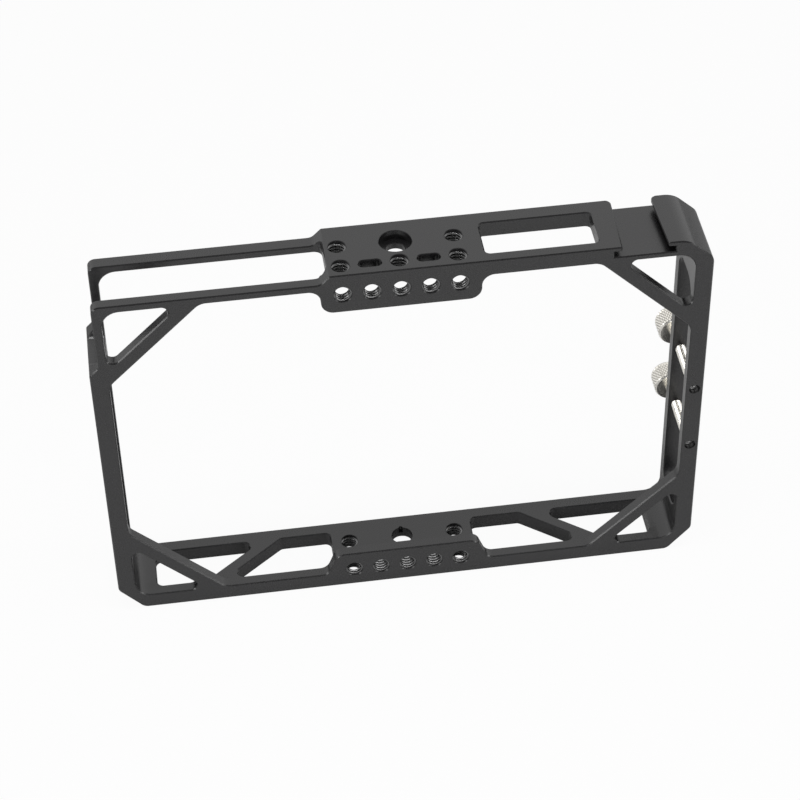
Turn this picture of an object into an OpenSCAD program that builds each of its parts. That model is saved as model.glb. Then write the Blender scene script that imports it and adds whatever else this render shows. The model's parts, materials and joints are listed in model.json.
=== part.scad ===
// Open milled cage that holds a 7 inch class on-camera monitor, with two knurled thumb screws.
// X runs left to right, Y from the front face to the back, Z up.
// The origin lies on the base's underside, in the middle of its four threaded holes.

/* [Overall size] */
// Outside width
cage_w = 215.4; // [212:0.2:230]
// Outside height
cage_h = 148.7; // [146:0.1:160]
// Depth from the front face to the back face
cage_d = 26.8; // [26:0.2:30]

/* [Monitor pocket] */
// Thickness of the side walls
wall_t = 6.3; // [6:0.1:7]
// Thickness of the base plate
base_t = 6.3; // [6:0.1:7]
// Thickness of the top plate
top_t = 6.3; // [6:0.1:7]
// Radius in the corners of the pocket
pocket_r = 6.2; // [5:0.1:6.6]

/* [Outer corners] */
// Width of the cut-off lower corners
foot_run = 8.8; // [6:0.2:10]
// Height of the cut-off lower corners
foot_rise = 10; // [8:0.5:12]
// Width of the sloping shoulder beside the shoe
shoulder_run = 9.2; // [7:0.2:9.6]
// Height of the sloping shoulder beside the shoe
shoulder_drop = 8.5; // [6:0.1:9]
// Radius at the head of this shoulder
shoulder_r = 8.5; // [6:0.5:10]
// Radius at its foot
shoulder_foot_r = 5; // [3:0.5:6]
// Radius that softens the other ends of these slopes
edge_r = 3.5; // [1:0.5:4.5]

/* [Stepped left shoulder] */
// Step down from the hole plate to the left rails
step_drop = 3.4; // [3:0.1:4]
// Step in of the left wall above its bridge
step_in = 3.2; // [2:0.1:3.5]
// Length of the stepped wall, from the top down
step_len = 33.1; // [30:0.1:36]
// Radius of the outer corner of the stepped rails
step_r = 2.8; // [1:0.2:3]
// Radius at the foot of the ramp up to the hole plate
ramp_r = 3.5; // [1:0.5:5]

/* [Rails and columns] */
// Thickness of the front rails, front columns, braces and tabs
front_t = 4.3; // [4:0.1:5]
// Depth of the top's back rails
top_back = 5.2; // [4.8:0.1:6]
// Depth of the top's back rail behind the right-hand opening
vent_back = 5.9; // [5:0.1:6.4]
// Depth of the base's back rail
base_back = 5.1; // [4.6:0.1:6]
// Depth of the back columns
column_back = 4.8; // [4:0.1:5]

/* [Corner braces] */
// Width of a brace
brace_w = 5; // [4:0.1:6]
// Reach of a brace along the top or the base
brace_run = 33.2; // [30:0.2:35]
// Reach of a brace along a side
brace_rise = 32.4; // [30:0.2:34]
// Radius where a brace runs into a rail
brace_r = 5.5; // [3:0.5:6.5]
// Radius in the narrow corners of a brace window
window_r = 2.4; // [1.6:0.1:2.6]

/* [Tabs] */
// Width of the tab that hangs from the top rail
top_tab_w = 55; // [53:0.5:60]
// Height of the top tab below the top plate
top_tab_h = 9.7; // [9.2:0.1:10.4]
// Radius of the top tab's outer and inner corners
top_tab_r = 4.4; // [3:0.1:4.4]
// Width of the base tab along its upper edge
base_tab_w = 52.4; // [51:0.2:55]
// Height of the base tab above the base plate
base_tab_h = 9.6; // [9:0.1:10.4]
// Run of the base tab's sloping ends
base_tab_run = 3.8; // [3:0.1:5]
// Radius at the ends of the base tab's slopes
base_tab_r = 4; // [2:0.5:4.5]

/* [Accessory holes] */
// Spacing of the holes in a row
hole_pitch = 10; // [9.6:0.1:10]
// Diameter of the quarter inch threaded holes
hole_d = 6.35; // [6:0.05:6.4]
// Distance of the front row from the front face
row_front = 5.3; // [5:0.1:5.6]
// Distance from the front row to the back row, in the top
row_gap = 10.5; // [10.2:0.1:11]
// Distance from the front row to the back row, in the base
base_row_gap = 11.1; // [10.6:0.1:11.6]
// Drilled depth of the holes in the tabs
tab_drill = 9; // [8:0.5:9.5]
// Height of the top tab's hole axes below the top plate
top_axis = 2; // [1.6:0.1:2.4]
// Height of the base tab's hole axes above the base plate
base_axis = 1.6; // [1.2:0.1:2]
// Length of the slots between the front row's holes
slot_len = 8.1; // [7:0.1:8.4]
// Width of these slots
slot_w = 3.8; // [3:0.1:4]
// Diameter of the counterbore in the middle of the top
counterbore_d = 11.4; // [10:0.1:12]
// Depth of the counterbore
counterbore_deep = 3.6; // [3:0.1:4]
// Diameter of the screw hole below the counterbore
screw_way_d = 6.6; // [6.4:0.1:7]
// Diameter of the keyed hole in the middle of the base
key_hole_d = 7.9; // [7:0.1:8.4]
// Diameter of the recess round its lower end
key_recess_d = 11.4; // [10:0.1:12]
// Depth of this recess
key_recess = 1.8; // [1.4:0.1:2.2]
// Radius of the notch at the keyed hole's back
key_notch_r = 0.8; // [0.6:0.1:1]
// Depth of the notch
key_notch_deep = 2.5; // [2:0.1:3]

/* [Top openings] */
// Distance from the middle to the left end of the hole plate
plate_left = 24.3; // [24:0.1:26]
// Radius at the right end of the left gap
gap_r = 3; // [2:0.5:4]
// Distance from the middle to the right-hand opening
vent_from = 29.2; // [28:0.1:31]
// Length of the right-hand opening
vent_len = 39.2; // [36:0.2:40]
// Radius in the corners of the right-hand opening
vent_r = 2; // [1:0.5:3]

/* [Accessory shoe] */
// Distance from the middle to the shoe's left lip
shoe_from = 76.4; // [76:0.1:77]
// Width between the lips, at the back
shoe_open = 14.1; // [13.4:0.1:15]
// Widening towards the front, on each side
shoe_flare = 1; // [0:0.1:1.2]
// Reach of the groove under each lip
shoe_under = 3.6; // [3.2:0.1:4]
// Thickness of the lips
shoe_lip = 1.9; // [1.7:0.1:2.1]
// Height of the groove
shoe_groove = 2.2; // [2:0.1:2.3]
// Radius of the lips' back corners
shoe_r = 2; // [1:0.5:3]

/* [Base openings] */
// Distance from the middle to the inner openings
truss_from = 26.7; // [26:0.1:28]
// Distance from the middle to the far end of the outer openings
truss_to = 93.4; // [90:0.2:94]
// Distance from the middle to the strut, at its back end
truss_strut = 45.6; // [43:0.1:47]
// Slant of the strut, along the base
truss_slant = 22.2; // [19:0.2:24]
// Width of the strut, along the base
truss_bar = 7.4; // [6:0.1:9]
// Radius in the corners of the base openings
truss_r = 2.4; // [1.6:0.1:2.6]

/* [Side openings] */
// Height of both side openings above the ground
side_from = 16.2; // [14:0.2:18]
// Distance from the top to the right wall's opening
right_down = 22; // [20:0.2:26]
// Radius in the corners of the right wall's opening
right_r = 6; // [3:0.5:8]
// Height of the bridge between the left wall's openings
bridge_h = 6; // [5:0.5:10]
// Radius in the corners of the left wall's openings
left_r = 3; // [2:0.5:5]

/* [Thumb screws] */
// Distance from the right side to the screws' axes
screw_in = 3.15; // [3.05:0.05:3.4]
// Height of the lower screw's axis
screw_low = 53.3; // [48:0.1:58]
// Distance between the two screws
screw_gap = 27.1; // [20:0.1:30]
// Diameter of the screw holes in the right wall
screw_hole_d = 4; // [3.6:0.1:4.2]
// Room round a stud in its hole, on each side
screw_play = 0.05; // [0.03:0.01:0.08]
// Length of a stud from the knob's face to its tip
stud_len = 26.5; // [24:0.5:26.5]
// Distance that the knobs stand off the back face
stand_off = 5; // [2:0.1:8]
// Diameter of a knob
knob_d = 12; // [10:0.2:13]
// Length of a knob
knob_len = 8.3; // [7:0.1:10]
// Bevel round the ends of a knob
knob_bevel = 0.6; // [0.3:0.1:1]
// Depth that a stud reaches into its knob
knob_grip = 6; // [4:0.5:6.5]

/* [Hidden] */
$fn = 64;
past = 1;
hair = 0.005;
reach_over = 1.4;
half_w = cage_w / 2;
front = -row_front - base_row_gap / 2;
back = front + cage_d;
inside_x = half_w - wall_t;
ceiling = cage_h - top_t;
step_z = cage_h - step_len;
rails_z = cage_h - step_drop;
behind_front = front + front_t;
row_y = front + row_front;
back_row_y = row_y + row_gap;
base_row_y = row_y + base_row_gap;
top_axis_z = ceiling - top_axis;
base_axis_z = base_t + base_axis;
shoe_z = cage_h - shoe_lip - shoe_groove;
far_lip = shoe_from + shoe_open;
screw_x = half_w - screw_in;
upper_z = screw_low + screw_gap;
stud_d = screw_hole_d - 2 * screw_play;
window_share = 1 - brace_w * norm([brace_run, brace_rise]) / (brace_run * brace_rise);
frame_colour = "#3d3c3e";
screw_colour = "#cfc8bb";

// Each corner of an outline is [across, up, radius], listed anticlockwise.
// A bend is a corner between the corners before and after it.
function spot(corner) = [corner[0], corner[1]];
function bend(corners, i) =
    let (n = len(corners))
    [spot(corners[(i + n - 1) % n]), spot(corners[i]), spot(corners[(i + 1) % n])];

function unit(v) = v / norm(v);
function arms(bend) = [unit(bend[0] - bend[1]), unit(bend[2] - bend[1])];
function half_angle(bend) = acos(arms(bend)[0] * arms(bend)[1]) / 2;
function hollow(bend) = cross(bend[1] - bend[0], bend[2] - bend[1]) < 0;
function arc_centre(bend, r) = bend[1] + unit(arms(bend)[0] + arms(bend)[1]) * r / sin(half_angle(bend));
function arc_ends(bend, r) = [for (arm = arms(bend)) bend[1] + arm * r / tan(half_angle(bend))];

function slab(from, to, r) = [
    [from[0], from[1], r],
    [to[0], from[1], r],
    [to[0], to[1], r],
    [from[0], to[1], r]
];

// What comes off at a bend. The arc is a hair wider than its radius, so that it crosses both edges.
module round_off(bend, r) {
    centre = arc_centre(bend, r);
    ends = arc_ends(bend, r);
    translate(centre)
        if (hollow(bend))
            circle(r + hair);
        else
            difference() {
                polygon(reach_over * [[0, 0], ends[0] - centre, bend[1] - centre, ends[1] - centre]);
                circle(r + hair);
            }
}

module rounded(corners) {
    every = [0 : len(corners) - 1];
    difference() {
        polygon([
            for (i = every)
                let (at = bend(corners, i), r = corners[i][2])
                each r > 0 && hollow(at) ? arc_ends(at, r) : [at[1]]
        ]);
        for (i = every)
            if (corners[i][2] > 0)
                round_off(bend(corners, i), corners[i][2]);
    }
}

// Extrusions of an X-Z outline along Y, a Y-Z outline along X and an X-Y outline along Z.
module along_y(from, to) {
    translate([0, to, 0]) rotate([90, 0, 0]) linear_extrude(to - from) children();
}

module along_x(from, to) {
    translate([from, 0, 0]) rotate([90, 0, 90]) linear_extrude(to - from) children();
}

module along_z(from, to) {
    translate([0, 0, from]) linear_extrude(to - from) children();
}

module both_sides() {
    children();
    mirror([1, 0, 0]) children();
}

outer_corners = [
    [-half_w + foot_run, 0, edge_r],
    [half_w - foot_run, 0, edge_r],
    [half_w, foot_rise, edge_r],
    [half_w, cage_h - shoulder_drop, shoulder_foot_r],
    [half_w - shoulder_run, cage_h, shoulder_r],
    [-plate_left, cage_h, ramp_r / 4],
    [-plate_left - step_drop, rails_z, ramp_r],
    [-half_w + step_in, rails_z, step_r],
    [-half_w + step_in, step_z + step_in, step_r / 2],
    [-half_w, step_z, step_r / 2],
    [-half_w, foot_rise, edge_r]
];

// The front opening runs round the braces and the two tabs.
front_corners = [
    [-inside_x + brace_run, base_t, brace_r],
    [-base_tab_w / 2 - base_tab_run, base_t, base_tab_r],
    [-base_tab_w / 2, base_t + base_tab_h, base_tab_r],
    [base_tab_w / 2, base_t + base_tab_h, base_tab_r],
    [base_tab_w / 2 + base_tab_run, base_t, base_tab_r],
    [inside_x - brace_run, base_t, brace_r],
    [inside_x, base_t + brace_rise, brace_r],
    [inside_x, ceiling - brace_rise, brace_r],
    [inside_x - brace_run, ceiling, brace_r],
    [top_tab_w / 2, ceiling, top_tab_r],
    [top_tab_w / 2, ceiling - top_tab_h, top_tab_r],
    [-top_tab_w / 2, ceiling - top_tab_h, top_tab_r],
    [-top_tab_w / 2, ceiling, top_tab_r],
    [-inside_x + brace_run, ceiling, brace_r],
    [-inside_x, ceiling - brace_rise, brace_r],
    [-inside_x, base_t + brace_rise, brace_r]
];

upper_window = [
    [-inside_x, ceiling, pocket_r],
    [-inside_x, ceiling - brace_rise * window_share, window_r],
    [-inside_x + brace_run * window_share, ceiling, window_r]
];

lower_window = [
    [-inside_x, base_t, pocket_r],
    [-inside_x + brace_run * window_share, base_t, window_r],
    [-inside_x, base_t + brace_rise * window_share, window_r]
];

truss_inner = [
    [truss_from, behind_front, truss_r],
    [truss_strut + truss_slant, behind_front, truss_r],
    [truss_strut, back - base_back, truss_r],
    [truss_from, back - base_back, truss_r]
];

truss_outer = [
    [truss_strut + truss_slant + truss_bar, behind_front, truss_r],
    [truss_to, behind_front, truss_r],
    [truss_to, back - base_back, truss_r],
    [truss_strut + truss_bar, back - base_back, truss_r]
];

shoe_corners = [
    [shoe_from - shoe_flare, front, 0],
    [far_lip + shoe_flare, front, 0],
    [far_lip, back, 0],
    [shoe_from, back, 0]
];

module pocket() {
    along_y(behind_front, back + past)
        rounded(slab([-inside_x, base_t], [inside_x, ceiling], pocket_r));
    along_y(front - past, behind_front + past) {
        rounded(front_corners);
        both_sides() {
            rounded(upper_window);
            rounded(lower_window);
        }
    }
}

module top_openings() {
    along_z(ceiling - pocket_r, cage_h)
        rounded(slab([-cage_w, behind_front], [-plate_left - past / 2, back - top_back], gap_r));
    along_z(ceiling - past, cage_h + past)
        rounded(slab([vent_from, behind_front], [vent_from + vent_len, back - vent_back], vent_r));
}

module base_openings() {
    along_z(-past, base_t + past)
        both_sides() {
            rounded(truss_inner);
            rounded(truss_outer);
        }
}

module side_openings() {
    along_x(-half_w - past, -inside_x + past) {
        rounded(slab([behind_front, step_z], [back - top_back, cage_h + left_r], left_r));
        rounded(slab([behind_front, side_from], [back - column_back, step_z - bridge_h], left_r));
    }
    along_x(inside_x - past, half_w + past)
        rounded(slab([behind_front, side_from], [back - column_back, cage_h - right_down], right_r));
}

// The slot between the lips widens towards the front, over a straight groove.
module shoe() {
    along_y(front - past, back + past)
        rounded(slab([shoe_from - shoe_under, shoe_z], [far_lip + shoe_under, shoe_z + shoe_groove], 0));
    along_z(shoe_z + shoe_groove / 2, cage_h + past) {
        rounded(shoe_corners);
        round_off([spot(shoe_corners[0]), [shoe_from, back], [shoe_from - shoe_r, back]], shoe_r);
        round_off([[far_lip + shoe_r, back], [far_lip, back], spot(shoe_corners[1])], shoe_r);
    }
}

module top_holes() {
    for (i = [-2 : 2])
        translate([i * hole_pitch, front, top_axis_z])
            rotate([-90, 0, 0]) translate([0, 0, -past]) cylinder(h = tab_drill + past, d = hole_d);
    for (i = [-2, 0, 2])
        translate([i * hole_pitch, row_y, top_axis_z]) cylinder(h = cage_h, d = hole_d);
    for (i = [-2, 2])
        translate([i * hole_pitch, back_row_y, ceiling - past]) cylinder(h = cage_h, d = hole_d);
    along_z(ceiling - past, cage_h + past)
        both_sides()
            translate([hole_pitch, row_y]) {
                square([slot_len - slot_w, slot_w], center = true);
                for (s = [-1, 1])
                    translate([s * (slot_len - slot_w) / 2, 0]) circle(d = slot_w);
            }
    translate([0, back_row_y, ceiling - past]) cylinder(h = cage_h, d = screw_way_d);
    translate([0, back_row_y, cage_h - counterbore_deep]) cylinder(h = cage_h, d = counterbore_d);
}

module base_holes() {
    for (i = [-2 : 2])
        translate([i * hole_pitch, front, base_axis_z])
            rotate([-90, 0, 0]) translate([0, 0, -past]) cylinder(h = tab_drill + past, d = hole_d);
    for (i = [-2, 2]) {
        translate([i * hole_pitch, row_y, -past]) cylinder(h = base_axis_z + past, d = hole_d);
        translate([i * hole_pitch, base_row_y, -past]) cylinder(h = base_t + 2 * past, d = hole_d);
    }
    translate([0, base_row_y, -past]) {
        cylinder(h = base_t + 2 * past, d = key_hole_d);
        cylinder(h = key_recess + past, d = key_recess_d);
    }
    translate([0, base_row_y + key_hole_d / 2, base_t - key_notch_deep])
        cylinder(h = base_t, r = key_notch_r);
}

module screw_holes() {
    for (z = [screw_low, upper_z])
        translate([screw_x, back + past, z])
            rotate([90, 0, 0]) cylinder(h = cage_d + 2 * past, d = screw_hole_d);
}

module cage_frame() {
    color(frame_colour)
    difference() {
        along_y(front, back) rounded(outer_corners);
        pocket();
        top_openings();
        base_openings();
        side_openings();
        shoe();
        top_holes();
        base_holes();
        screw_holes();
    }
}

// A screw is turned about Z with its tip up, then laid down to point at the front.
module seated(z) {
    translate([screw_x, back + stand_off, z]) rotate([90, 0, 0]) children();
}

module stud() {
    tip = stud_d / 8;
    rotate_extrude()
        polygon([
            [0, -knob_grip],
            [stud_d / 2, -knob_grip],
            [stud_d / 2, stud_len - tip],
            [stud_d / 2 - tip, stud_len],
            [0, stud_len]
        ]);
}

module knob() {
    rotate_extrude()
        polygon([
            [0, -knob_len],
            [knob_d / 2 - knob_bevel, -knob_len],
            [knob_d / 2, knob_bevel - knob_len],
            [knob_d / 2, -knob_bevel],
            [knob_d / 2 - knob_bevel, 0],
            [screw_hole_d / 2, 0],
            [screw_hole_d / 2, -knob_grip],
            [0, -knob_grip]
        ]);
}

module upper_knob() {
    color(screw_colour) seated(upper_z) knob();
}

module upper_stud() {
    color(screw_colour) seated(upper_z) stud();
}

module lower_knob() {
    color(screw_colour) seated(screw_low) knob();
}

module lower_stud() {
    color(screw_colour) seated(screw_low) stud();
}

cage_frame();
upper_knob();
upper_stud();
lower_knob();
lower_stud();
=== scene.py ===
import json
import math

import bmesh
import bpy
from mathutils import Euler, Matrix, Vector

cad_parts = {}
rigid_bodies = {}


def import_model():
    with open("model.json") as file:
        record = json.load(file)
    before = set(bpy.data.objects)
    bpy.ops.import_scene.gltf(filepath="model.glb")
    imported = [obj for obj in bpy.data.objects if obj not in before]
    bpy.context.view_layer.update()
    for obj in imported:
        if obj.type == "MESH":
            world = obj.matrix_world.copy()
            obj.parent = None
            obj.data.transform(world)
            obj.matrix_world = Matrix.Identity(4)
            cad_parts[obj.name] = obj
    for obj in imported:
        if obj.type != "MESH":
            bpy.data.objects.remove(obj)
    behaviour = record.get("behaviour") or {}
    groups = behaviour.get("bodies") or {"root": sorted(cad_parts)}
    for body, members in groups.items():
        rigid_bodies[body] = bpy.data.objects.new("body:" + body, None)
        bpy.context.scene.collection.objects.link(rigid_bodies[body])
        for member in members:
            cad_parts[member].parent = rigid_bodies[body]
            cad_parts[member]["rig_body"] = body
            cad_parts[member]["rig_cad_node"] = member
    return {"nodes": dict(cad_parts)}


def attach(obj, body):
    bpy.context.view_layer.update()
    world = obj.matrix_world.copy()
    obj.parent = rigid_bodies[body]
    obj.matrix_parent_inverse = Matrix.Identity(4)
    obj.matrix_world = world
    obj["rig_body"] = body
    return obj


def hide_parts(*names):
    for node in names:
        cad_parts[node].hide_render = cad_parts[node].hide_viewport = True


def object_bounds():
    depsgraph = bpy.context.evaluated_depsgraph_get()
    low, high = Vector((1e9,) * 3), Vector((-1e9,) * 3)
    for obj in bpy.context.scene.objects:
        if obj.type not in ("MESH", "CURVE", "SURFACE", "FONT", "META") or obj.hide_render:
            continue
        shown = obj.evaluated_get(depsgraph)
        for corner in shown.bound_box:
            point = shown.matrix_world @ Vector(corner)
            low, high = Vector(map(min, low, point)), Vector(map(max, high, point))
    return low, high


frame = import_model()
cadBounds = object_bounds()
mm = 0.001
trim = 1e-6  # a hair, for merging and for choosing vertices by place
touch = trim / 10  # a vertex this near to a cutting plane lies on it
sliver = 0.002 * mm  # narrower faces along a cut are dissolved
print("frame loaded:", sorted(frame["nodes"]))


def only(piece):
    bpy.ops.object.select_all(action="DESELECT")
    piece.select_set(True)
    bpy.context.view_layer.objects.active = piece
    return piece


def edit(piece):
    only(piece)
    bpy.ops.object.mode_set(mode="EDIT")
    bpy.ops.mesh.select_all(action="SELECT")


def leave():
    bpy.ops.object.mode_set(mode="OBJECT")


def settle(piece):
    only(piece)
    bpy.ops.object.transform_apply(location=True, rotation=True, scale=True)


def finish(piece, kind, **settings):
    only(piece)
    modifier = piece.modifiers.new(kind.title(), kind)
    for key, value in settings.items():
        setattr(modifier, key, value)
    bpy.ops.object.modifier_apply(modifier=modifier.name)
    if kind == "BOOLEAN":  # the cut leaves slivers
        edit(piece)
        bpy.ops.mesh.dissolve_degenerate(threshold=sliver)
        leave()


def copyOf(source, name):
    piece = source.copy()
    piece.data = source.data.copy()
    for key in ("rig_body", "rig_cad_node"):  # a copy of a CAD node isn't one itself
        if key in piece:
            del piece[key]
    piece.parent = None
    piece.rotation_mode = "XYZ"
    piece.name = piece.data.name = name
    bpy.context.scene.collection.objects.link(piece)
    return piece


def solidCopy(node, name):  # the CAD node's faces, merged into one closed skin
    piece = copyOf(frame["nodes"][node], name)
    edit(piece)
    bpy.ops.mesh.remove_doubles(threshold=trim)
    bpy.ops.mesh.normals_make_consistent(inside=False)
    leave()
    bpy.ops.mesh.customdata_custom_splitnormals_clear()  # smooth() sets the shading anew
    return piece


def remove(piece):
    bpy.data.objects.remove(piece, do_unlink=True)


def chooseVertices(piece, wanted):
    bpy.ops.mesh.select_mode(type="VERT")
    bpy.ops.mesh.select_all(action="DESELECT")
    work = bmesh.from_edit_mesh(piece.data)
    for vertex in work.verts:
        vertex.select = wanted(vertex.co)
    work.select_flush(True)
    bmesh.update_edit_mesh(piece.data)


def smooth(piece, degrees):
    only(piece)
    bpy.ops.object.shade_smooth_by_angle(angle=math.radians(degrees))


# finishes: a wire is a node's output that can stand in an expression
class Wire:
    def __init__(self, graph, socket):
        self.graph = graph
        self.socket = socket

    def maths(self, operation, first, second):
        return self.graph.add("ShaderNodeMath", {0: first, 1: second}, operation=operation)

    def __add__(self, other):
        return self.maths("ADD", self, other)

    def __radd__(self, other):
        return self.maths("ADD", other, self)

    def __sub__(self, other):
        return self.maths("SUBTRACT", self, other)

    def __rsub__(self, other):
        return self.maths("SUBTRACT", other, self)

    def __mul__(self, other):
        return self.maths("MULTIPLY", self, other)

    def __rmul__(self, other):
        return self.maths("MULTIPLY", other, self)

    def __pow__(self, other):
        return self.maths("POWER", self, other)

    def __rpow__(self, other):
        return self.maths("POWER", other, self)


class Graph:
    def __init__(self, owner):
        owner.use_nodes = True
        self.tree = owner.node_tree
        self.tree.nodes.clear()

    def add(self, kind, inputs=None, output=0, **settings):
        node = self.tree.nodes.new(kind)
        for key, value in settings.items():
            setattr(node, key, value)
        for key, value in (inputs or {}).items():
            if isinstance(value, Wire):
                self.tree.links.new(value.socket, node.inputs[key])
            else:
                node.inputs[key].default_value = value
        return Wire(self, node.outputs[output]) if len(node.outputs) else None

    def noise(self, scale, detail):
        place = self.add("ShaderNodeTexCoord", output="Object")
        return self.add("ShaderNodeTexNoise", {"Vector": place, "Scale": scale, "Detail": detail})

    def blend(self, factor, first, second):  # 6, 7 and 2 are the node's colour sockets
        return self.add("ShaderNodeMix", {"Factor": factor, 6: first, 7: second}, output=2,
                        data_type="RGBA")

    def end(self, surface):
        self.add("ShaderNodeOutputMaterial", {"Surface": surface})


noiseSpec = {"broadDetail": 3.0, "grainDetail": 1.0, "middle": 0.5}
grooveName = "groove"  # attribute of a knurled mesh: 1 at the foot of its diamonds, where painted shade goes


def makeMaterial(spec):
    material = bpy.data.materials.new(spec["name"])
    graph = Graph(material)
    broad = graph.noise(spec["broadScale"], noiseSpec["broadDetail"])
    grain = graph.noise(spec["grainScale"], noiseSpec["grainDetail"])
    relief = graph.add(
        "ShaderNodeBump",
        {"Height": grain, "Strength": spec["reliefStrength"],
         "Distance": spec["reliefDepth"]},
    )
    tone = broad * spec["broadShare"] + grain * (1 - spec["broadShare"])
    colour = graph.blend(tone, spec["dark"], spec["light"])
    if "grooveShade" in spec:  # painted shade: dark in the grooves of a knurl
        depth = graph.add("ShaderNodeAttribute", output="Fac", attribute_name=grooveName)
        share = depth ** spec["grooveEdge"] * spec["grooveShare"]
        colour = graph.blend(share, colour, spec["grooveShade"])
    graph.end(
        graph.add(
            "ShaderNodeBsdfPrincipled",
            {
                "Base Color": colour,
                "Metallic": spec["metallic"],
                "Roughness": spec["roughness"]
                + (tone - noiseSpec["middle"]) * spec["roughnessSpread"],
                "IOR": spec["ior"],
                "Normal": relief,
            },
        )
    )
    return material


def paint(piece, material):
    piece.data.materials.clear()
    piece.data.materials.append(material)


anodised = makeMaterial({
    "name": "blackAnodised",
    "dark": (0.0060, 0.0058, 0.0064, 1),
    "light": (0.0110, 0.0105, 0.0112, 1),
    "metallic": 0.0,
    "ior": 1.62,
    "roughness": 0.28,
    "roughnessSpread": 0.10,
    "broadScale": 30,
    "grainScale": 4200,
    "broadShare": 0.4,
    "reliefStrength": 0.25,
    "reliefDepth": 0.00003,
})
freshThread = makeMaterial({
    "name": "anodisedThread",
    "dark": (0.0060, 0.0058, 0.0064, 1),
    "light": (0.0110, 0.0105, 0.0112, 1),
    "metallic": 0.0,
    "ior": 2.2,
    "roughness": 0.2,
    "roughnessSpread": 0.06,
    "broadScale": 120,
    "grainScale": 4200,
    "broadShare": 0.4,
    "reliefStrength": 0.1,
    "reliefDepth": 0.00002,
})
nickel = makeMaterial({
    "name": "nickelSteel",
    "dark": (0.92, 0.89, 0.82, 1),
    "light": (0.99, 0.97, 0.92, 1),
    "metallic": 1.0,
    "ior": 1.5,
    "roughness": 0.26,
    "roughnessSpread": 0.10,
    "broadScale": 160,
    "grainScale": 3000,
    "broadShare": 0.6,
    "reliefStrength": 0.15,
    "reliefDepth": 0.00002,
    # painted shade in the knurl's grooves, laid over the nickel's colour
    "grooveEdge": 5,
    "grooveShare": 0.95,
    "grooveShade": (0.10, 0.09, 0.07, 1),
})
print("materials made")

# tapped holes: the ridges are wound along Z and then turned into their holes
quarterInch = {"pitch": 1.27 * mm, "wall": 3.19 * mm, "crest": 2.3 * mm, "foot": 1.03 * mm,
               "round": 0.5 * mm, "roundSteps": 3, "steps": 36, "lip": 0.2 * mm, "smooth": 50}
metricFour = {"pitch": 0.7 * mm, "wall": 2.02 * mm, "crest": 1.49 * mm, "foot": 0.61 * mm,
              "round": 0.18 * mm, "roundSteps": 3, "steps": 24, "lip": 0.0, "smooth": 50}
# bare length at the mouth of a thread, and at its far end
lead = {"tab": 0.6 * mm, "plate": 0.7 * mm, "screw": 2.5 * mm, "end": 0.1 * mm}
crossing = {"radius": 3.175 * mm, "sides": 48, "reach": 12 * mm, "axis": 5.3 * mm,
            "slotLength": 8.1 * mm, "slotWidth": 3.8 * mm, "plate": 1.6 * mm, "tab": 4.3 * mm}
inward, down, up = (-math.pi / 2, 0, 0), (math.pi, 0, 0), (0, 0, 0)
# faces, axes, rows, depths and places along a row, and the two thumb screws, in mm
plan = {"front": -10.85, "topFace": 148.7, "topAxis": 140.4, "topDepth": 8.3, "topBackRow": 4.95,
        "baseFace": 6.3, "baseAxis": 7.9, "baseBackRow": 5.55, "frontRow": -5.55,
        "wall": 6.3, "trough": 9, "thirds": (-20, 0, 20), "ends": (-20, 20),
        "between": (-10, 10), "middle": (-10, 0, 10)}
screw = {"x": 104.55, "upper": 80.4, "lower": 53.3, "tip": -5.55, "face": 20.95}


def crossHole(depth, side):  # a hole that meets the thread from one side, or runs across it
    bpy.ops.mesh.primitive_cylinder_add(
        vertices=crossing["sides"], radius=crossing["radius"], depth=crossing["reach"],
        rotation=(math.pi / 2, 0, 0), location=(0, side * crossing["reach"] / 2, depth))
    return bpy.context.object


def crossSlot(depth, side):
    bpy.ops.mesh.primitive_cube_add(size=1, location=(0, side * crossing["reach"] / 2, depth))
    cutter = bpy.context.object
    cutter.scale = (crossing["slotLength"], crossing["reach"], crossing["slotWidth"])
    return cutter


def crossPlate(depth, side):  # what would stand above the base, behind its tab
    bpy.ops.mesh.primitive_cube_add(
        size=2 * crossing["reach"],
        location=(0, side * crossing["plate"] - crossing["reach"], depth + crossing["reach"]))
    return bpy.context.object


def row(xs, y, z):
    return [Vector((x, y, z)) * mm for x in xs]


def tap(thread, mouths, turn, depth, start, cut=None, side=0, at=crossing["axis"]):
    return {"thread": thread, "mouths": mouths, "turn": turn, "depth": depth, "start": start,
            "cut": cut, "side": side, "at": at, "way": Euler(turn).to_matrix() @ Vector((0, 0, 1))}


holes = [
    tap(quarterInch, row(plan["thirds"], plan["front"], plan["topAxis"]), inward,
        crossing["tab"], lead["tab"], crossHole, -1),
    tap(quarterInch, row(plan["between"], plan["front"], plan["topAxis"]), inward,
        crossing["tab"], lead["tab"], crossSlot, -1),
    tap(quarterInch, row(plan["ends"], plan["front"], plan["baseAxis"]), inward,
        crossing["tab"], lead["tab"], crossHole, 1),
    tap(quarterInch, row(plan["middle"], plan["front"], plan["baseAxis"]), inward,
        plan["trough"] * mm, lead["tab"], crossPlate, 1, crossing["tab"]),
    tap(quarterInch, row(plan["thirds"], plan["frontRow"], plan["topFace"]), down,
        plan["topDepth"] * mm, lead["plate"], crossHole, 0, plan["topDepth"] * mm),
    tap(quarterInch, row(plan["ends"], plan["topBackRow"], plan["topFace"]), down,
        plan["wall"] * mm, lead["plate"]),
    tap(quarterInch, row(plan["ends"], plan["baseBackRow"], plan["baseFace"]), down,
        plan["wall"] * mm, lead["plate"]),
    tap(quarterInch, row(plan["ends"], plan["frontRow"], 0), up,
        plan["baseAxis"] * mm, lead["plate"], crossHole, 0, plan["baseAxis"] * mm),
    tap(metricFour, [Vector((screw["x"], plan["front"], screw[level])) * mm
                     for level in ("lower", "upper")],
        inward, crossing["tab"], lead["screw"]),
]

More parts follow.
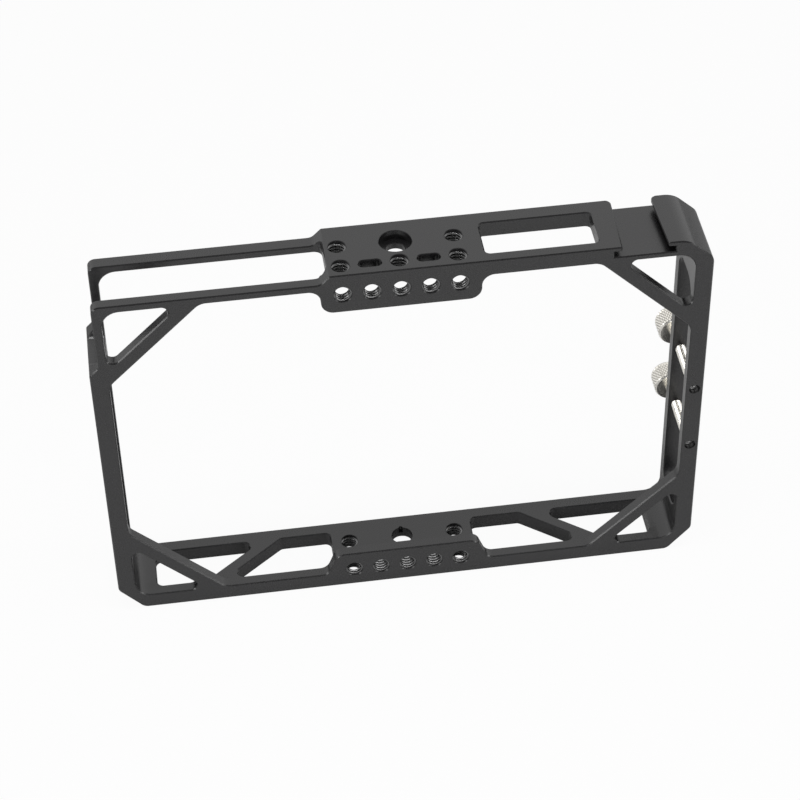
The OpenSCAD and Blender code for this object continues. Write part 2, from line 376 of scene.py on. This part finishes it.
# milled frame: every outer edge is broken by a small chamfer
milled = {"edge": 0.4 * mm, "flat": 0.4, "crease": 25, "broad": 9e-6, "smooth": 16,
          "keyHole": Vector((0, 5.55, 6.3)) * mm, "keyReach": 6.2 * mm, "keyEdge": 0.1 * mm,
          "plateLow": Vector((-23, -9, 143)) * mm, "plateHigh": Vector((23, 14, 149)) * mm,
          "plateEdge": 0.2 * mm, "mouthReach": 0.1 * mm}


def planes(work, tolerance):  # area of the flat region that each face belongs to
    area = {}
    for face in work.faces:
        if face.index in area:
            continue
        region, queue = {face.index}, [face]
        total = 0.0
        while queue:
            current = queue.pop()
            total += current.calc_area()
            for edge in current.edges:
                for other in edge.link_faces:
                    turned = other.normal.angle(face.normal, math.inf)
                    if other.index not in region and turned < tolerance:
                        region.add(other.index)
                        queue.append(other)
        for index in region:
            area[index] = total
    return area


def chamferWidth(edge, spec):  # less at the mouth of a hole and in the hole plate
    middle = (edge.verts[0].co + edge.verts[1].co) / 2
    for hole in holes:
        reach = hole["thread"]["wall"] + spec["mouthReach"]
        for mouth in hole["mouths"]:
            along = (middle - mouth).dot(hole["way"])
            across = (middle - mouth - hole["way"] * along).length
            if across < reach and -trim < along < hole["depth"] + trim:
                return hole["thread"]["lip"]
    nearKey = (middle - spec["keyHole"]).xy.length < spec["keyReach"]
    if nearKey and middle.z < spec["keyHole"].z + trim:
        return spec["keyEdge"]
    limits = zip(spec["plateLow"], middle, spec["plateHigh"])
    inPlate = all(low < value < high for low, value, high in limits)
    return spec["plateEdge"] if inPlate else spec["edge"]


def breakEdges(piece, spec):
    edit(piece)
    work = bmesh.from_edit_mesh(piece.data)
    work.normal_update()
    area = planes(work, math.radians(spec["flat"]))
    weight = work.edges.layers.float.new("bevel_weight_edge")
    crease = math.radians(spec["crease"])
    for edge in work.edges:
        if len(edge.link_faces) == 2 and edge.is_convex and edge.calc_face_angle(0) > crease:
            if max(area[face.index] for face in edge.link_faces) > spec["broad"]:
                edge[weight] = chamferWidth(edge, spec) / spec["edge"]
    bmesh.update_edit_mesh(piece.data)
    leave()
    finish(piece, "BEVEL", width=spec["edge"], segments=1, limit_method="WEIGHT",
           use_clamp_overlap=False, loop_slide=False)
    low, high = cadBounds
    for vertex in piece.data.vertices:  # no corner stands out of the CAD box
        limits = zip(low, vertex.co, high)
        vertex.co = [min(max(value, least), most) for least, value, most in limits]
    smooth(piece, spec["smooth"])


milledFrame = solidCopy("cage_frame", "milledFrame")
breakEdges(milledFrame, milled)
paint(milledFrame, anodised)
print("frame milled:", len(milledFrame.data.polygons), "faces")


def tooth(spec, height):  # a triangle beside the Z axis, its point towards the axis
    depth = (spec["wall"] - spec["crest"]) / 1.5  # a circle of three has a height of 1.5 radii
    bpy.ops.mesh.primitive_circle_add(vertices=3, radius=1, fill_type="NOTHING")
    piece = bpy.context.object
    piece.rotation_euler = (0, -math.pi / 2, math.pi / 2)
    settle(piece)
    piece.scale = (depth, 1, spec["foot"] / math.sqrt(3))
    piece.location = (spec["crest"] + depth, 0, height)
    settle(piece)
    edit(piece)
    chooseVertices(piece, lambda place: place.x < spec["crest"] + trim)
    bpy.ops.mesh.bevel(offset=spec["round"], segments=spec["roundSteps"], affect="VERTICES")
    leave()
    return piece


def wind(piece, spec, start, stop):
    turns = math.ceil((stop - start) / spec["pitch"]) + 2
    finish(piece, "SCREW", axis="Z", angle=2 * math.pi, screw_offset=spec["pitch"],
           iterations=turns, steps=spec["steps"], render_steps=spec["steps"])
    edit(piece)
    bpy.ops.mesh.remove_doubles(threshold=trim)
    for height, side in ((start, "clear_inner"), (stop, "clear_outer")):
        bpy.ops.mesh.select_all(action="SELECT")
        bpy.ops.mesh.bisect(plane_co=(0, 0, height), plane_no=(0, 0, 1), use_fill=True,
                            threshold=touch, **{side: True})
    bpy.ops.mesh.select_all(action="SELECT")
    bpy.ops.mesh.normals_make_consistent(inside=False)
    leave()
    return piece


def cutOut(piece, cutter):
    settle(cutter)
    finish(piece, "BOOLEAN", operation="DIFFERENCE", solver="EXACT", object=cutter)
    remove(cutter)


def cutThread(hole):
    spec = hole["thread"]
    start, stop = hole["start"], hole["depth"]
    if hole["at"] < hole["depth"]:  # it ends inside its own hole
        stop -= lead["end"] + spec["lip"]
    first = wind(tooth(spec, start - spec["pitch"]), spec, start, stop)
    if hole["cut"]:
        cutOut(first, hole["cut"](hole["at"], hole["side"]))
    smooth(first, spec["smooth"])
    paint(first, freshThread)
    made = []
    for mouth in hole["mouths"]:
        piece = copyOf(first, "threadRidge")
        piece.rotation_euler = hole["turn"]
        piece.location = mouth
        settle(piece)
        made.append(piece)
    remove(first)
    return made


ridges = [piece for hole in holes for piece in cutThread(hole)]
only(milledFrame)
for piece in ridges:
    piece.select_set(True)
bpy.ops.object.join()
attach(milledFrame, "frame")
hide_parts("cage_frame")
print("threads cut:", len(ridges))

# thumb screws: a threaded stud and a knurled head, modelled once along Z
studSpec = {"pitch": 0.7 * mm, "wall": 1.97 * mm, "crest": 1.47 * mm, "foot": 0.7 * mm,
            "round": 0.03 * mm, "roundSteps": 3, "steps": 20, "smooth": 30}
knobSpec = {"radius": 6 * mm, "length": 8.3 * mm, "bevel": 0.6 * mm, "around": 34, "rows": 4,
            "height": 0.3 * mm, "bore": 2 * mm, "grip": 6 * mm, "smooth": 20}


def chooseEdges(piece, wanted):
    bpy.ops.mesh.select_mode(type="EDGE")
    bpy.ops.mesh.select_all(action="DESELECT")
    work = bmesh.from_edit_mesh(piece.data)
    for edge in work.edges:
        edge.select = wanted(edge.verts[0].co, edge.verts[1].co)
    work.select_flush_mode()
    bmesh.update_edit_mesh(piece.data)


def pull(rise, scale):  # the chosen ring drawn on along Z and towards the axis
    bpy.ops.mesh.extrude_edges_move(TRANSFORM_OT_translate={"value": (0, 0, rise)})
    bpy.ops.transform.resize(value=(scale, scale, 1))


def knurledKnob(spec):
    core = spec["radius"] - spec["height"]
    low, high = spec["bevel"], spec["length"] - spec["bevel"]
    bpy.ops.mesh.primitive_cylinder_add(
        vertices=spec["around"], radius=core, depth=high - low, end_fill_type="NOTHING",
        location=(0, 0, spec["length"] / 2))
    piece = bpy.context.object
    piece.name = "knurledKnob"
    settle(piece)
    edit(piece)
    chooseEdges(piece, lambda a, b: abs(a.z - b.z) > trim)
    bpy.ops.mesh.subdivide(number_cuts=spec["rows"] - 1)
    bpy.ops.mesh.select_all(action="SELECT")
    bpy.ops.mesh.poke()
    outer = core * (1 + math.cos(math.pi / spec["around"])) / 2

    def onWall(a, b):  # at neither end a poked middle
        return min(a.xy.length, b.xy.length) > outer

    def lowRim(a, b):
        return onWall(a, b) and max(a.z, b.z) < low + trim

    def highRim(a, b):
        return onWall(a, b) and min(a.z, b.z) > high - trim

    # the squares' own edges go, which leaves diamonds, and each is drawn to a point
    chooseEdges(piece, lambda a, b: onWall(a, b) and not lowRim(a, b) and not highRim(a, b))
    bpy.ops.mesh.dissolve_edges(use_verts=False)
    bpy.ops.mesh.select_all(action="SELECT")
    bpy.ops.mesh.poke(offset=spec["height"])
    brim = spec["radius"] - spec["bevel"]
    chooseEdges(piece, lowRim)
    pull(-low, brim / core)
    pull(0, spec["bore"] / brim)
    pull(spec["grip"], 1)
    bpy.ops.mesh.edge_face_add()
    chooseEdges(piece, highRim)
    pull(low, brim / core)
    bpy.ops.mesh.edge_face_add()
    bpy.ops.mesh.select_all(action="SELECT")
    bpy.ops.mesh.normals_make_consistent(inside=False)
    leave()
    smooth(piece, spec["smooth"])
    # marks the grooves, where the material paints shade
    groove = piece.data.attributes.new(grooveName, "FLOAT", "POINT")
    for vertex, depth in zip(piece.data.vertices, groove.data):
        inBand = low + trim < vertex.co.z < high - trim
        atFoot = brim - trim < vertex.co.xy.length < core + trim
        depth.value = float(inBand and atFoot)
    return piece


def threadedStud(spec, node):
    plain = solidCopy(node, "plainStud")
    plain.rotation_euler = (math.pi / 2, 0, 0)
    plain.location = (-screw["x"] * mm, screw["upper"] * mm, -screw["tip"] * mm)
    settle(plain)
    stop = max(vertex.co.z for vertex in plain.data.vertices) + spec["pitch"]
    phase = (plan["front"] - screw["tip"]) * mm + lead["screw"]  # in step with its front hole
    start = phase - math.ceil(phase / spec["pitch"] + 1) * spec["pitch"]
    piece = tooth(spec, start - spec["pitch"])
    edit(piece)
    chooseEdges(piece, lambda a, b: min(a.x, b.x) > spec["wall"] - trim)
    bpy.ops.mesh.delete(type="EDGE")
    leave()
    wind(piece, spec, start + spec["pitch"] / 2, stop)
    finish(piece, "BOOLEAN", operation="INTERSECT", solver="EXACT", object=plain)
    remove(plain)
    smooth(piece, spec["smooth"])
    return piece


knobModel = knurledKnob(knobSpec)
studModel = threadedStud(studSpec, "upper_stud")
for level in ("upper", "lower"):
    for model, kind, name, start in ((knobModel, "knob", level + "Knob", screw["face"]),
                                     (studModel, "stud", level + "Stud", screw["tip"])):
        piece = copyOf(model, name)
        piece.rotation_euler = inward
        piece.location = (screw["x"] * mm, start * mm, screw[level] * mm)
        settle(piece)
        paint(piece, nickel)
        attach(piece, level + "_screw_" + kind)
        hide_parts(level + "_" + kind)
remove(knobModel)
remove(studModel)
print("thumb screws turned")

# stage: a pale floor, a bright room with one dark side, and soft panels
white = (1, 1, 1, 1)
floorSpec = {"size": 8.0, "below": 0.1 * mm, "colour": (0.8, 0.8, 0.8, 1),
             "white": 0.95, "mirrored": 0.04}
bpy.ops.mesh.primitive_plane_add(size=floorSpec["size"], location=(0, 0, -floorSpec["below"]))
floor = bpy.context.object
floor.name = "floor"


def rays(graph):  # what is seen straight, and what is seen in a gloss or a clear piece
    straight = graph.add("ShaderNodeLightPath", output="Is Camera Ray")
    gloss = graph.add("ShaderNodeLightPath", output="Is Glossy Ray")
    clear = graph.add("ShaderNodeLightPath", output="Is Transmission Ray")
    return straight, gloss.maths("MAXIMUM", gloss, clear)


floorMaterial = bpy.data.materials.new("paleFloor")
graph = Graph(floorMaterial)
straight, mirrored = rays(graph)
graph.end(graph.add("ShaderNodeMixShader", {
    0: straight * floorSpec["white"] + mirrored * floorSpec["mirrored"],
    1: graph.add("ShaderNodeBsdfDiffuse", {"Color": floorSpec["colour"]}),
    2: graph.add("ShaderNodeEmission", {"Color": white, "Strength": 1.0}),
}))
paint(floor, floorMaterial)

worldSpec = {"dark": (0, -1, 0), "edge": -0.5, "core": 0.6, "dim": 0.12, "fill": 0.3}
world = bpy.data.worlds.new("studio")
bpy.context.scene.world = world
graph = Graph(world)
straight, mirrored = rays(graph)
aim = graph.add("ShaderNodeTexCoord", output="Generated")
toward = graph.add("ShaderNodeVectorMath", {0: aim, 1: worldSpec["dark"]}, output="Value",
                   operation="DOT_PRODUCT")
room = graph.add(  # white all round but for the dark side of the room
    "ShaderNodeMapRange",
    {"Value": toward, "From Min": worldSpec["edge"], "From Max": worldSpec["core"],
     "To Min": 1.0, "To Max": worldSpec["dim"]},
    interpolation_type="SMOOTHSTEP",
)
lit = room * (worldSpec["fill"] + (1 - worldSpec["fill"]) * mirrored)
shade = graph.add("ShaderNodeBackground", {
    "Color": white,
    "Strength": straight.maths("MAXIMUM", straight, lit),
})
graph.add("ShaderNodeOutputWorld", {"Surface": shade})

lamps = {
    "leftPanel": {"place": (-0.9, -0.65, 0.38), "wide": 0.6, "tall": 0.25, "power": 2.5},
    "frontPanel": {"place": (0, -1.15, 0.42), "wide": 1.5, "tall": 0.42, "power": 8.0},
    "rightPanel": {"place": (0.9, -0.65, 0.38), "wide": 0.6, "tall": 0.25, "power": 2.0},
    "topPanel": {"place": (0, -0.12, 1.25), "wide": 0.8, "tall": 0.3, "power": 6.5},
}
lampAim = Vector((0, 0, 0.07))


def lamp(name, spec):
    bpy.ops.object.light_add(type="AREA", location=spec["place"])
    piece = bpy.context.object
    piece.name = name
    piece.data.shape = "RECTANGLE"
    piece.data.size = spec["wide"]
    piece.data.size_y = spec["tall"]
    piece.data.energy = spec["power"]
    piece.rotation_euler = (lampAim - piece.location).to_track_quat("-Z", "Y").to_euler()


for name, spec in lamps.items():
    lamp(name, spec)

cameraSpec = {"place": (-0.078032, -0.638515, 0.66146),
              "turn": (47.89422, 1.00391, -7.85484), "lens": 109.3476, "sensor": 36,
              "near": 0.01}
bpy.ops.object.camera_add(location=cameraSpec["place"])
camera = bpy.context.object
camera.rotation_euler = [math.radians(angle) for angle in cameraSpec["turn"]]
camera.data.lens = cameraSpec["lens"]
camera.data.sensor_width = cameraSpec["sensor"]
camera.data.clip_start = cameraSpec["near"]
bpy.context.scene.camera = camera
bpy.context.scene.view_settings.view_transform = "Standard"
print("stage set")
